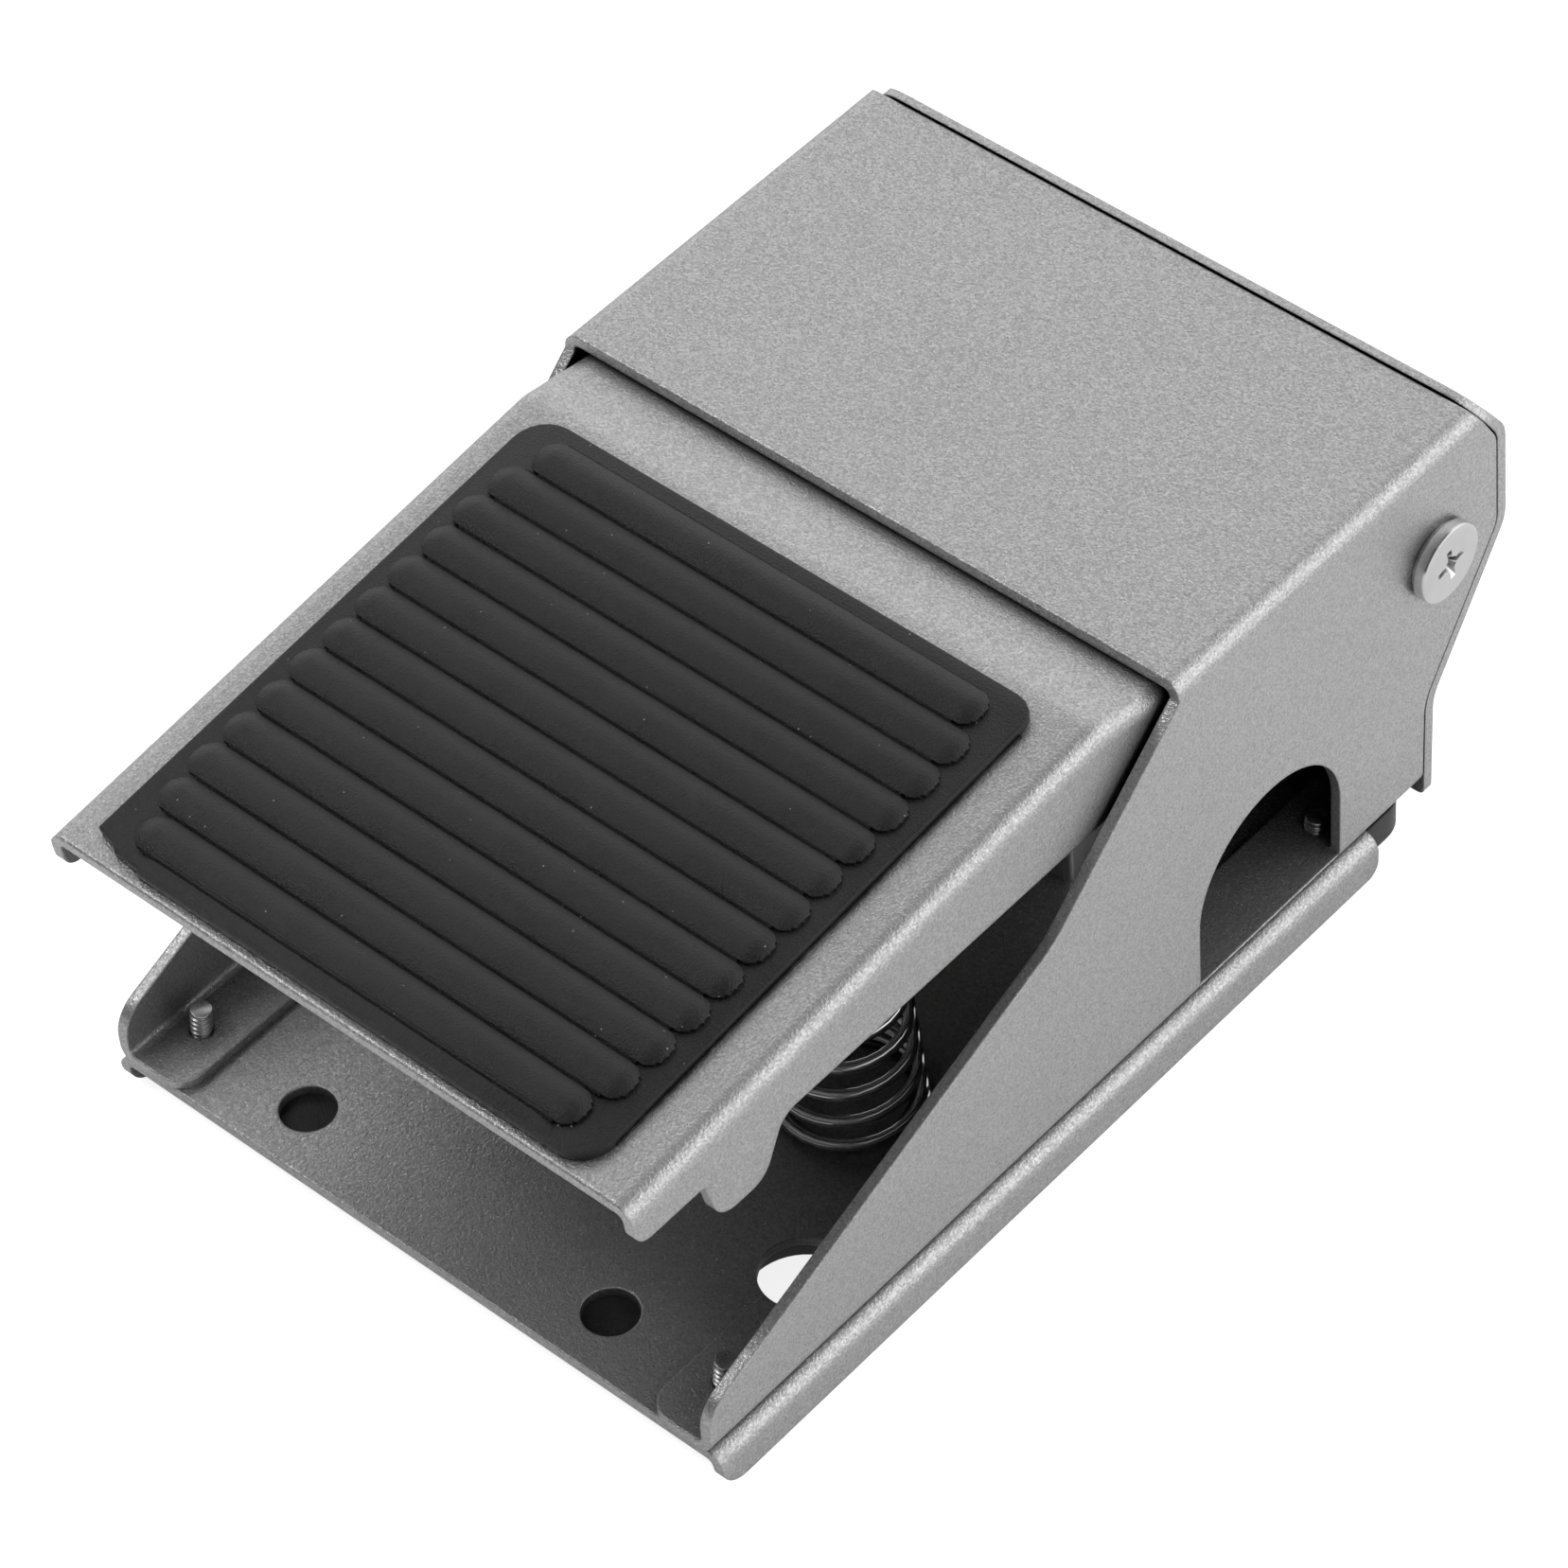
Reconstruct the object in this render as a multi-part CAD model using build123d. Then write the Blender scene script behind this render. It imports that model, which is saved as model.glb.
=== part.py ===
"""Foot pedal air valve: bent sheet base, housing and pedal around a vertical spool valve.

Sizes are millimetres. X runs across the pedal, +Y towards the rear and +Z up.
Every place along Y is counted from the front edge of the base plate, and the
finished pieces move together so that the origin is the middle of the footprint.
"""

import math
import os

from build123d import *

# Sheet
sheet = 1.5
bend_inner = 1.0
bend_outer = bend_inner + sheet
edge_roll = 0.5
hole_fit = 0.2
running_fit = 0.05
seat_gap = 0.3
match = 0.01

# Base
base_half = 49.0
base_length = 122.0
base_top = 6.3
base_foot = 0.1
base_front_round = 4.0
base_rear_round = 2.0
tongue_inset = 15.0
tongue_rise = 12.0
tongue_round = 3.0
mount_hole_r = 5.3
mount_hole_inset = 10.85
mount_hole_y = 26.3
guard_hole_r = 3.6
guard_hole_inset = 24.4
guard_hole_y = 7.9

# Mat
mat_side_gap = 1.05
mat_front = 3.6
mat_rear_gap = 0.05
mat_hole_r = 7.55
mat_front_round = 4.0
mat_rear_round = 5.0
pocket_clearance = 0.4

# Housing
base_ledge = 1.1
housing_top = 63.2
housing_front = -0.4
lip_y = 85.5
lip_drop = 2.7
nose_height = 14.0
nose_round = 5.0
knee_y = 62.0
knee_z = 39.4
knee_round = 14.0
foot_flange_reach = 10.4
foot_flange_short = 2.2
foot_flange_front_round = 3.5
foot_flange_rear_round = 2.5
bolt_clearance = 1.0
rear_overhang = 10.2
rear_foot_z = 21.5
rear_belly = 13.75
rear_waist_drop = 21.2
rear_shoulder_set = 0.6
rear_shoulder_drop = 6.4
rear_top_set = 3.8
rear_round = 4.0
rear_hollow_round = 8.0
arch_from_rear = 19.9
arch_r = 13.6
arch_spring_z = 18.0

# Rear cover
cover_inner_gap = 0.3
cover_proud = 0.25
cover_low = 4.3
cover_corner = 6.0
ear_drop = 8.2
ear_height = 5.0
ear_length = 10.5

# Pedal
wall_gap = 1.0
pedal_front_y = -6.5
pedal_slope = 0.104
crease_before_lip = 10.5
crease_round = 8.0
rear_slope = -0.17
lip_gap = 0.48
flange_depth = 7.0
flange_front_round = 2.5
lobe_from_front = 11.7
lobe_length = 13.1
lobe_taper = 1.8
lobe_round = 3.6
arm_past_lip = 2.5
arm_round = 10.0
pivot_from_rear = 11.95
pivot_drop = 17.6
deck_past_bore = 5.0
pivot_ear_r = 8.0
pedal_travel = 15.3
stop_gap = 0.35

# Pad
pad_margin = 6.4
pad_front_gap = 1.2
pad_crease_gap = 2.1
pad_offset = -1.0
pad_base = 1.4
pad_corner = 5.0
pad_cut_rise = 3.4
pad_cut_run = 8.3
pad_cut_round = 0.6
rib_count = 13
rib_end_margin = 2.4
rib_width = 5.55
rib_height = 1.3
rib_margin = 5.1
end_rib_set = 2.0

# Pivot
axle_r = 4.0
axle_thread_r = 2.5
axle_thread_depth = 12.0
bush_wall = 1.0
bush_flange_r = 6.5
bush_flange = 0.8
pivot_head_r = 5.45
pivot_head = 2.2
pivot_head_chamfer = 0.6
cross_length = 5.0
cross_width = 0.9
cross_depth = 1.3

# Return springs
spring_inset = 20.2
spring_y = 49.8
spring_wire_r = 0.75
spring_low_r = 9.15
spring_high_r = 5.2
spring_turns = 12
boss_height = 1.0
boss_play = 0.6

# Valve body
lever = 27.0
bore_r = 6.0
body_half = 24.0
body_front = 14.5
body_rear = 12.5
body_edge = 1.0
port_past_arch = 1.4
port_r = 5.72
port_depth = 11.0
port_face_r = 9.5
port_face_depth = 0.5
passage_r = 1.5
passage_margin = 0.2
land_cover = 1.1
exhaust_r = 4.28
exhaust_depth = 7.6
body_screw_x = 17.0
body_screw_margin = 3.9
body_screw_depth = 7.0

# Spool
land_play = 0.15
spool_waist_r = 3.6
stem_r = 3.0
seal_wire_r = 0.8
seal_margin = 0.5
tip_gap = 0.42
button_r = 4.5
button_height = 2.3
button_dome_r = 8.0
button_pin_r = 2.0
button_pin = 1.2
pocket_r = 2.6
pocket_depth = 13.9
valve_spring_wire_r = 0.3
valve_spring_turns = 13

# Plug and cap
plug_r = 8.0
plug_disc = 1.5
plug_spigot = 2.6
plug_seal_wire_r = 0.7
plug_recess = 1.4
cap_half = 11.0
cap_thick = 2.6
cap_round = 2.0
cap_screw_inset = 2.8
cap_seal_wire_r = 0.6

# Screws
m3_r = 1.45
m3_head_r = 2.8
m3_head = 1.8
m3_tip = 4.2
tip_chamfer = 0.4
pan_round = 0.6
m4_r = 1.95
m4_head_r = 3.6
m4_head = 2.3
m25_r = 1.2
m25_head_r = 2.2
m25_length = 6.0
stud_from_front = 8.4
stud_from_rear = 4.4
stud_inset = 5.4
cover_screw_inset = 10.0
cover_screw_z = 12.0
screw_grip = 5.0


def outline(corners):
    """Face bounded by straight runs, from (u, v, corner radius) triples."""
    points = [(u, v) for u, v, _ in corners]
    radii = [radius for _, _, radius in corners]
    return make_face(FilletPolyline(*points, radius=radii, close=True))


def side_slab(corners, x_low, x_high):
    """Solid across X from an outline in Y and Z."""
    return extrude(Plane.YZ.offset(x_low) * outline(corners), amount=x_high - x_low)


def plan_slab(corners, z_low, z_high):
    """Solid up Z from an outline in X and Y."""
    return extrude(Plane.XY.offset(z_low) * outline(corners), amount=z_high - z_low)


def front_slab(corners, y_low, y_high):
    """Solid along Y from an outline in X and Z."""
    return extrude(Plane.XZ.offset(-y_low) * outline(corners), amount=y_low - y_high)


def upright(radius, x, y, z_low, z_high):
    """Cylinder along Z between two heights."""
    return Pos(x, y, z_low) * Cylinder(
        radius, z_high - z_low, align=(Align.CENTER, Align.CENTER, Align.MIN)
    )


def crossbar(radius, y, z, x_low, x_high):
    """Cylinder along X between two places."""
    return Pos(x_low, y, z) * Rot(0, 90, 0) * Cylinder(
        radius, x_high - x_low, align=(Align.CENTER, Align.CENTER, Align.MIN)
    )


def lengthbar(radius, x, z, y_low, y_high):
    """Cylinder along Y between two places."""
    return Pos(x, y_low, z) * Rot(-90, 0, 0) * Cylinder(
        radius, y_high - y_low, align=(Align.CENTER, Align.CENTER, Align.MIN)
    )


def beside(points, distance):
    """The same path moved sideways, with its corners mitred."""
    normals = []
    for (u0, v0), (u1, v1) in zip(points, points[1:]):
        run = math.hypot(u1 - u0, v1 - v0)
        normals.append(((v0 - v1) / run, (u1 - u0) / run))
    moved = [(points[0][0] + normals[0][0] * distance, points[0][1] + normals[0][1] * distance)]
    for (u, v), (a, b), (c, d) in zip(points[1:-1], normals, normals[1:]):
        share = distance / (1 + a * c + b * d)
        moved.append((u + (a + c) * share, v + (b + d) * share))
    last_u, last_v = points[-1]
    moved.append((last_u + normals[-1][0] * distance, last_v + normals[-1][1] * distance))
    return moved


def pedal_top(y):
    """Height of the pedal's upper face on its centre line."""
    if y <= crease_y:
        return pedal_height + pedal_slope * y
    return pedal_height + pedal_slope * crease_y + rear_slope * (y - crease_y)


def lobe_bottom():
    """Level of the stop lobes that lets them land on the flanges at full travel."""
    angle = math.radians(pedal_travel)
    round_y = lobe_front_y + lobe_taper + lobe_round
    landing = flange_top + stop_gap + lobe_round - pivot_z
    centre = (landing - (round_y - pivot_y) * math.sin(angle)) / math.cos(angle)
    return pivot_z + centre - lobe_round


# Places across the width that several pieces share
housing_half = base_half - base_ledge
housing_inner = housing_half - sheet
pedal_half = housing_inner - wall_gap
pedal_inner = pedal_half - sheet
flange_edge = housing_half - foot_flange_reach
mat_half = base_half - sheet - mat_side_gap
pad_width = 2 * (pedal_half - pad_margin)
rib_length = pad_width - 2 * rib_end_margin
spring_x = pedal_half - spring_inset
mount_hole_x = base_half - mount_hole_inset
guard_hole_x = base_half - guard_hole_inset
tongue_half = base_half - tongue_inset
stud_x = housing_half - stud_inset
cover_screw_x = tongue_half - cover_screw_inset
cap_screw_offset = cap_half - cap_screw_inset

# Places along the length
rear_foot_y = base_length + rear_overhang
tongue_rear_y = rear_foot_y + cover_inner_gap
rear_waist_y = rear_foot_y + rear_belly
rear_shoulder_y = rear_waist_y - rear_shoulder_set
rear_top_y = rear_shoulder_y - rear_top_set
foot_flange_rear = rear_foot_y - foot_flange_short
mat_rear = rear_foot_y - mat_rear_gap
ear_front_y = rear_top_y - ear_length
pivot_y = rear_waist_y - pivot_from_rear
bore_y = pivot_y - lever
body_front_y = bore_y - body_front
body_depth = body_front + body_rear
body_screw_front_y = body_front_y + body_screw_margin
body_screw_rear_y = body_front_y + body_depth - body_screw_margin
arch_y = base_length - arch_from_rear
port_y = arch_y + port_past_arch
front_stud_y = housing_front + stud_from_front
rear_stud_y = base_length - stud_from_rear
crease_y = lip_y - crease_before_lip
deck_rear_y = bore_y + deck_past_bore
arm_start_y = lip_y + arm_past_lip
lobe_front_y = pedal_front_y + lobe_from_front
lobe_rear_y = lobe_front_y + lobe_length
pad_front_y = pedal_front_y + pad_front_gap
pad_rear_y = crease_y - pad_crease_gap

# Heights
base_floor = base_top - sheet
mat_top = base_floor
flange_top = base_top + sheet
rear_waist_z = housing_top - rear_waist_drop
rear_shoulder_z = housing_top - rear_shoulder_drop
ear_low = housing_top - ear_drop
pivot_z = housing_top - pivot_drop
crease_top = housing_top - sheet - lip_gap - rear_slope * (lip_y - crease_y)
pedal_height = crease_top - pedal_slope * crease_y
flange_low = pedal_height - flange_depth
rear_path = [
    (rear_top_y, housing_top),
    (rear_shoulder_y, rear_shoulder_z),
    (rear_waist_y, rear_waist_z),
    (rear_foot_y, rear_foot_z),
    (rear_foot_y, base_top),
]
lobe_low = lobe_bottom()
stroke = lever * math.radians(pedal_travel)

# Heights up the valve, from the plug to the button
deck_below = sheet / math.cos(math.atan(rear_slope))
tip_z = pedal_top(bore_y) - deck_below - tip_gap
button_low = tip_z - button_height
cap_top = button_low - stroke - seat_gap
body_top = cap_top - cap_thick
plug_top = base_top + plug_disc + plug_spigot
seal_half = seal_wire_r + seal_margin
foot_z = plug_top + seat_gap + stroke
lower_seal_z = foot_z + seal_half
pocket_top = foot_z + pocket_depth
supply_z = plug_top + seat_gap + 2 * seal_half + passage_margin + passage_r
outlet_z = supply_z + stroke + land_cover
exhaust_z = outlet_z + stroke + land_cover
port_z = (supply_z + outlet_z) / 2
middle_seal_z = exhaust_z + passage_r + seal_half
shoulder_z = body_top - seat_gap
upper_seal_z = shoulder_z - seal_half
spool_land_r = bore_r - land_play


def base_plate():
    """Channel with shallow side flanges, a rear tongue and spring bosses."""
    inner = base_half - sheet
    plate = front_slab(
        [
            (-base_half, base_foot, 0),
            (-base_half, base_top, bend_outer),
            (base_half, base_top, bend_outer),
            (base_half, base_foot, 0),
            (inner, base_foot, 0),
            (inner, base_floor, bend_inner),
            (-inner, base_floor, bend_inner),
            (-inner, base_foot, 0),
        ],
        0,
        base_length,
    )
    plate &= side_slab(
        [
            (0, base_foot, base_front_round),
            (base_length, base_foot, base_rear_round),
            (base_length, base_top, 0),
            (0, base_top, 0),
        ],
        -base_half,
        base_half,
    )
    tongue_top = base_top + tongue_rise
    tongue = side_slab(
        [
            (base_length - sheet, base_floor, 0),
            (tongue_rear_y, base_floor, bend_outer),
            (tongue_rear_y, tongue_top, 0),
            (tongue_rear_y - sheet, tongue_top, 0),
            (tongue_rear_y - sheet, base_top, bend_inner),
            (base_length - sheet, base_top, 0),
        ],
        -tongue_half,
        tongue_half,
    )
    tongue &= front_slab(
        [
            (-tongue_half, base_floor, 0),
            (-tongue_half, tongue_top, tongue_round),
            (tongue_half, tongue_top, tongue_round),
            (tongue_half, base_floor, 0),
        ],
        base_length - sheet,
        tongue_rear_y,
    )
    plate += tongue
    boss_r = spring_low_r - spring_wire_r - boss_play
    for side in (-1, 1):
        boss = upright(boss_r, side * spring_x, spring_y, base_top - sheet, base_top + boss_height)
        plate += chamfer(boss.edges().filter_by(GeomType.CIRCLE).sort_by(Axis.Z)[-1], boss_height / 2)
        plate -= upright(boss_r - sheet, side * spring_x, spring_y, base_floor, base_top - sheet + boss_height)
        plate -= upright(mount_hole_r, side * mount_hole_x, mount_hole_y, 0, base_top)
        plate -= upright(guard_hole_r, side * guard_hole_x, guard_hole_y, 0, base_top)
        for stud_y in (front_stud_y, rear_stud_y):
            plate -= upright(m3_r + hole_fit, side * stud_x, stud_y, 0, base_top)
        plate -= lengthbar(m3_r + running_fit, side * cover_screw_x, cover_screw_z,
                           tongue_rear_y - sheet, tongue_rear_y)
    for x, y in body_screw_places():
        plate -= upright(m4_r + hole_fit, x, y, 0, base_top)
    return plate


def body_screw_places():
    """Where the two screws that hold the valve body pass through the base."""
    return ((-body_screw_x, body_screw_front_y), (body_screw_x, body_screw_rear_y))


def rubber_mat():
    """Anti-slip mat inside the base, pocketed over the screw heads."""
    mat = plan_slab(
        [
            (-mat_half, mat_front, mat_front_round),
            (mat_half, mat_front, mat_front_round),
            (mat_half, mat_rear, mat_rear_round),
            (-mat_half, mat_rear, mat_rear_round),
        ],
        0,
        mat_top,
    )
    for side in (-1, 1):
        mat -= upright(mat_hole_r, side * mount_hole_x, mount_hole_y, 0, mat_top)
        for stud_y in (front_stud_y, rear_stud_y):
            mat -= edge_pocket(side, stud_y)
    for x, y in body_screw_places():
        mat -= upright(m4_head_r + pocket_clearance, x, y,
                       mat_top - m4_head - pocket_clearance, mat_top)
    return mat


def edge_pocket(side, y):
    """Pocket over a housing screw's head, open to the side of the mat."""
    radius = m3_head_r + pocket_clearance
    low = mat_top - m3_head - pocket_clearance
    reach = 2 * (mat_half - stud_x)
    pocket = upright(radius, side * stud_x, y, low, mat_top)
    return pocket + Pos(side * (stud_x + reach / 2), y, (low + mat_top) / 2) * Box(
        reach, 2 * radius, mat_top - low
    )


def housing_cover():
    """Folded housing: top, two cut side walls and the flanges that sit on the base."""
    section = [
        (-flange_edge, base_top, 0),
        (-housing_half, base_top, bend_outer),
        (-housing_half, housing_top, bend_outer),
        (housing_half, housing_top, bend_outer),
        (housing_half, base_top, bend_outer),
        (flange_edge, base_top, 0),
        (flange_edge, flange_top, 0),
        (housing_inner, flange_top, bend_inner),
        (housing_inner, housing_top - sheet, bend_inner),
        (-housing_inner, housing_top - sheet, bend_inner),
        (-housing_inner, flange_top, bend_inner),
        (-flange_edge, flange_top, 0),
    ]
    folded = front_slab(section, housing_front, rear_waist_y)
    profile = [
        (housing_front, base_top, 0),
        (housing_front, nose_height, nose_round),
        (knee_y, knee_z, knee_round),
        (lip_y, housing_top - lip_drop, 0),
        (lip_y, housing_top, edge_roll),
        (rear_top_y, housing_top, 0),
        (rear_shoulder_y, rear_shoulder_z, rear_round),
        (rear_waist_y, rear_waist_z, rear_round),
        (rear_foot_y, rear_foot_z, rear_hollow_round),
        (rear_foot_y, base_top, bend_inner),
    ]
    folded &= side_slab(profile, -housing_half, housing_half)
    folded -= side_slab(
        [
            (arch_y - arch_r, flange_top, 0),
            (arch_y + arch_r, flange_top, 0),
            (arch_y + arch_r, arch_spring_z, 0),
            (arch_y - arch_r, arch_spring_z, 0),
        ],
        -housing_half,
        housing_half,
    )
    arch_head = side_slab(
        [
            (arch_y - arch_r, flange_top, 0),
            (arch_y + arch_r, flange_top, 0),
            (arch_y + arch_r, arch_spring_z + arch_r, 0),
            (arch_y - arch_r, arch_spring_z + arch_r, 0),
        ],
        -housing_half,
        housing_half,
    )
    folded -= crossbar(arch_r, arch_y, arch_spring_z, -housing_half, housing_half) & arch_head
    folded -= crossbar(axle_thread_r + hole_fit, pivot_y, pivot_z, -housing_half, housing_half)
    for side in (-1, 1):
        folded -= upright(mount_hole_r + bolt_clearance, side * mount_hole_x, mount_hole_y, base_top, flange_top)
        for stud_y in (front_stud_y, rear_stud_y):
            folded -= upright(m3_r + running_fit, side * stud_x, stud_y, base_top, flange_top)
        rear_cut = Pos(side * flange_edge, (foot_flange_rear + rear_waist_y) / 2, base_top + sheet / 2)
        folded -= rear_cut * Box(2 * (housing_inner - bend_outer - flange_edge),
                                 rear_waist_y - foot_flange_rear, sheet)
    flange_corners = [
        edge
        for edge in folded.edges().filter_by(Axis.Z)
        if abs(abs(edge.center().X) - flange_edge) < match and edge.center().Z < flange_top
    ]
    for y, radius in ((housing_front, foot_flange_front_round), (foot_flange_rear, foot_flange_rear_round)):
        folded = fillet([edge for edge in flange_corners if abs(edge.center().Y - y) < match], radius)
        flange_corners = [
            edge
            for edge in folded.edges().filter_by(Axis.Z)
            if abs(abs(edge.center().X) - flange_edge) < match and edge.center().Z < flange_top
        ]
    return folded


def rear_cover():
    """Sheet that closes the back, with two welded ears inside the walls."""
    path = [(rear_top_y, housing_top + cover_proud)] + rear_path[1:-1] + [(rear_foot_y, cover_low)]
    near = beside(path, cover_inner_gap)
    far = beside(path, cover_inner_gap + sheet)
    near = [(near[0][0], path[0][1])] + near[1:-1] + [(near[-1][0], cover_low)]
    far = [(far[0][0], path[0][1])] + far[1:-1] + [(far[-1][0], cover_low)]
    wall_radii = [0, rear_round, rear_round, rear_hollow_round, 0]
    bulges = [0, 1, 1, -1, 0]
    corners = []
    for (y, z), radius, bulge in zip(far, wall_radii, bulges):
        corners.append((y, z, radius + bulge * (cover_inner_gap + sheet)))
    for (y, z), radius, bulge in reversed(list(zip(near, wall_radii, bulges))):
        corners.append((y, z, radius + bulge * cover_inner_gap))
    cover = side_slab(corners, -housing_half, housing_half)
    rear_limit = rear_waist_y + cover_inner_gap + 2 * sheet
    cover &= front_slab(
        [
            (-housing_half, cover_low, bend_inner),
            (-housing_half, housing_top + cover_proud, cover_corner),
            (housing_half, housing_top + cover_proud, cover_corner),
            (housing_half, cover_low, bend_inner),
        ],
        rear_foot_y,
        rear_limit,
    )
    for side in (-1, 1):
        x_low = housing_inner - sheet if side > 0 else -housing_inner
        cover += side_slab(
            [
                (ear_front_y, ear_low, bend_inner),
                (rear_waist_y + cover_inner_gap, ear_low, 0),
                (rear_top_y + cover_inner_gap + 2 * sheet, ear_low + ear_height, 0),
                (ear_front_y, ear_low + ear_height, bend_inner),
            ],
            x_low,
            x_low + sheet,
        )
        cover -= lengthbar(m3_r + hole_fit, side * cover_screw_x, cover_screw_z,
                           rear_foot_y, rear_limit)
    return cover


def pedal_outline(depth):
    """Long section of the pedal's folded deck, this far under its upper face."""
    path = [
        (pedal_front_y, pedal_top(pedal_front_y)),
        (crease_y, pedal_top(crease_y)),
        (deck_rear_y, pedal_top(deck_rear_y)),
    ]
    return beside(path, -depth)


def pedal_plate():
    """Folded pedal: sloping deck, side flanges with stop lobes, and pivot ears."""
    ear_top = pivot_z + pivot_ear_r
    ear_low_z = pivot_z - pivot_ear_r
    ear_rear = pivot_y + pivot_ear_r
    ear_round = pivot_ear_r - hole_fit
    front_low_y = pedal_front_y + pedal_slope * (pedal_top(pedal_front_y) - flange_low)
    deck = pedal_outline(0)
    profile = [
        (deck[0][0], deck[0][1], edge_roll),
        (deck[1][0], deck[1][1], crease_round),
        (deck[2][0], deck[2][1], 0),
        (pivot_y - pivot_ear_r, ear_top, arm_round),
        (ear_rear, ear_top, ear_round),
        (ear_rear, ear_low_z, ear_round),
        (pivot_y - pivot_ear_r, ear_low_z, arm_round),
        (arm_start_y, flange_low, arm_round),
        (lobe_rear_y, flange_low, lobe_round - hole_fit),
        (lobe_rear_y - 2 * lobe_taper, lobe_low, lobe_round),
        (lobe_front_y + lobe_taper, lobe_low, lobe_round),
        (lobe_front_y, flange_low, sheet / 2),
        (front_low_y, flange_low, flange_front_round),
    ]
    block_low = lobe_low - pivot_ear_r
    outer = side_slab(
        [
            (deck[0][0], deck[0][1], 0),
            (deck[1][0], deck[1][1], crease_round),
            (deck[2][0], deck[2][1], 0),
            (ear_rear, ear_top, 0),
            (ear_rear, block_low, 0),
            (deck[0][0], block_low, 0),
        ],
        -pedal_half,
        pedal_half,
    )
    outer = fillet(deck_edges(outer, pedal_half), bend_outer)
    below = pedal_outline(sheet)
    past_front = pedal_front_y - 2 * sheet
    inner = side_slab(
        [
            (past_front, below[0][1] - pedal_slope * 2 * sheet, 0),
            (below[1][0], below[1][1], crease_round - sheet),
            (below[2][0], below[2][1], 0),
            (deck_rear_y + sheet, ear_top + 2 * pivot_ear_r, 0),
            (ear_rear + sheet, ear_top + 2 * pivot_ear_r, 0),
            (ear_rear + sheet, block_low - sheet, 0),
            (past_front, block_low - sheet, 0),
        ],
        -pedal_inner,
        pedal_inner,
    )
    inner = fillet(deck_edges(inner, pedal_inner), bend_inner)
    pedal = (outer - inner) & side_slab(profile, -pedal_half, pedal_half)
    pedal -= crossbar(axle_r + bush_wall + running_fit / 2, pivot_y, pivot_z, -pedal_half, pedal_half)
    boss_r = spring_high_r - spring_wire_r - boss_play
    for side in (-1, 1):
        seat = pedal_top(spring_y) - sheet
        pedal += upright(boss_r, side * spring_x, spring_y, seat - boss_height, seat)
    return pedal


def deck_edges(block, half):
    """Long edges where the deck of a pedal block meets its sides."""
    lowest_deck = min(pedal_top(pedal_front_y), pedal_top(deck_rear_y)) - 2 * sheet
    return [
        edge
        for edge in block.edges()
        if abs(abs(edge.center().X) - half) < match
        and edge.center().Z > lowest_deck
        and edge.center().Y < deck_rear_y
        and edge.length > crease_round / 10
    ]


def pad_plane():
    """Plane of the pedal's upper face, with its local Y running up the slope."""
    return Plane(origin=(pad_offset, 0, pedal_height), x_dir=(1, 0, 0), z_dir=(0, -pedal_slope, 1))


def pedal_pad():
    """Rubber tread with rounded cross ribs."""
    stretch = math.hypot(1, pedal_slope)
    low = pad_front_y * stretch
    high = pad_rear_y * stretch
    half = pad_width / 2
    sheet_face = outline([(-half, low + pad_cut_rise, pad_cut_round), (-half + pad_cut_run, low, pad_cut_round),
                          (half, low, pad_corner), (half, high, pad_corner), (-half, high, pad_corner)])
    pad = extrude(sheet_face, amount=pad_base)
    pitch = (high - low - 2 * rib_margin) / (rib_count - 1)
    for number in range(rib_count):
        at_end = number in (0, rib_count - 1)
        length = rib_length - (2 * end_rib_set if at_end else 0)
        pad += Pos(0, low + rib_margin + number * pitch, pad_base) * tread_rib(length)
    return pad_plane() * pad


def tread_rib(length):
    """Low rounded rib with domed ends, standing on the local XY plane."""
    crown_r = (rib_width * rib_width / 4 + rib_height * rib_height) / (2 * rib_height)
    axis_z = rib_height - crown_r
    end_x = (length - rib_width) / 2
    rod = crossbar(crown_r, 0, axis_z, -end_x, end_x)
    for side in (-1, 1):
        rod += Pos(side * end_x, 0, axis_z) * Sphere(crown_r)
    return rod & Pos(0, 0, rib_height / 2) * Box(length, rib_width, rib_height)


def pivot_axle():
    """Plain rod between the walls, tapped at both ends."""
    axle = crossbar(axle_r, pivot_y, pivot_z, -housing_inner, housing_inner)
    for side in (-1, 1):
        near = side * (housing_inner - axle_thread_depth)
        far = side * housing_inner
        axle -= crossbar(axle_thread_r, pivot_y, pivot_z, min(near, far), max(near, far))
    return axle


def pivot_screws():
    """Cross-recess pan screws at the two ends of the axle."""
    screws = []
    shank = sheet + axle_thread_depth - 2 * seat_gap
    for side in (-1, 1):
        head = Cylinder(pivot_head_r, pivot_head, align=(Align.CENTER, Align.CENTER, Align.MIN))
        head = chamfer(head.edges().sort_by(Axis.Z)[-1], pivot_head_chamfer)
        slot = Pos(0, 0, pivot_head - cross_depth / 2)
        head -= slot * Box(cross_length, cross_width, cross_depth)
        head -= slot * Box(cross_width, cross_length, cross_depth)
        head += Pos(0, 0, -shank / 2) * Cylinder(axle_thread_r - running_fit, shank)
        screws.append(Pos(side * housing_half, pivot_y, pivot_z) * Rot(0, side * 90, 0) * head)
    return screws


def pivot_bushes():
    """Flanged plain bearings that carry the pedal's ears on the axle."""
    bushes = []
    for side in (-1, 1):
        inner = side * (pedal_inner - bush_flange)
        face = side * pedal_half
        outer = side * (pedal_half + bush_flange)
        bush = crossbar(axle_r + bush_wall, pivot_y, pivot_z, min(inner, outer), max(inner, outer))
        bush += crossbar(bush_flange_r, pivot_y, pivot_z, min(face, outer), max(face, outer))
        bush -= crossbar(axle_r + running_fit, pivot_y, pivot_z, min(inner, outer), max(inner, outer))
        bushes.append(bush)
    return bushes


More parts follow.
